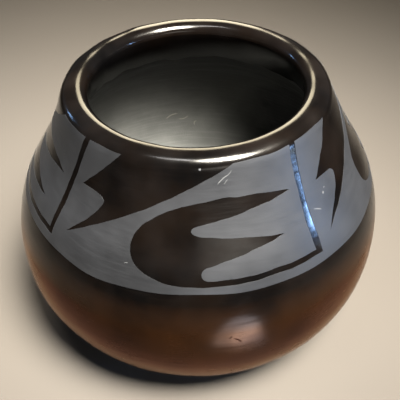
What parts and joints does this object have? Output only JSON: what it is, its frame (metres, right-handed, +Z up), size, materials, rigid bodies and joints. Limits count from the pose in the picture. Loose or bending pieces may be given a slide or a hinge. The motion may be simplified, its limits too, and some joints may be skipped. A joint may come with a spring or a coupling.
{
  "type": "black clay pot",
  "caption": "Round-bodied black clay pot with a wide thick-lipped mouth, polished all over, with a matte grey band of painted feather and stepped figures on the shoulder.",
  "frame": {"origin": "on the turning axis at the flat resting face", "axes": "+Z up along the turning axis; -Y is the front, facing the middle of painted panel 1"},
  "size_m": [0.12, 0.12, 0.09],
  "materials": {
    "fired_clay": "smoke-blackened fired clay, wiped smooth, matte",
    "burnished_slip": "stone-burnished black slip, glossy with a warm cast",
    "matte_slip": "thin painted slip, matte blue-grey"
  },
  "bodies": {
    "root": {"base": "fired_clay", "wall_lower": "fired_clay", "wall_belly": "fired_clay", "wall_shoulder": "fired_clay", "wall_neck": "fired_clay", "rim_coil": "fired_clay", "slip_body": "burnished_slip", "slip_neck": "burnished_slip", "matte_panel_1": "matte_slip", "matte_panel_2": "matte_slip", "matte_panel_3": "matte_slip", "matte_panel_4": "matte_slip"}
  },
  "joints": []
}
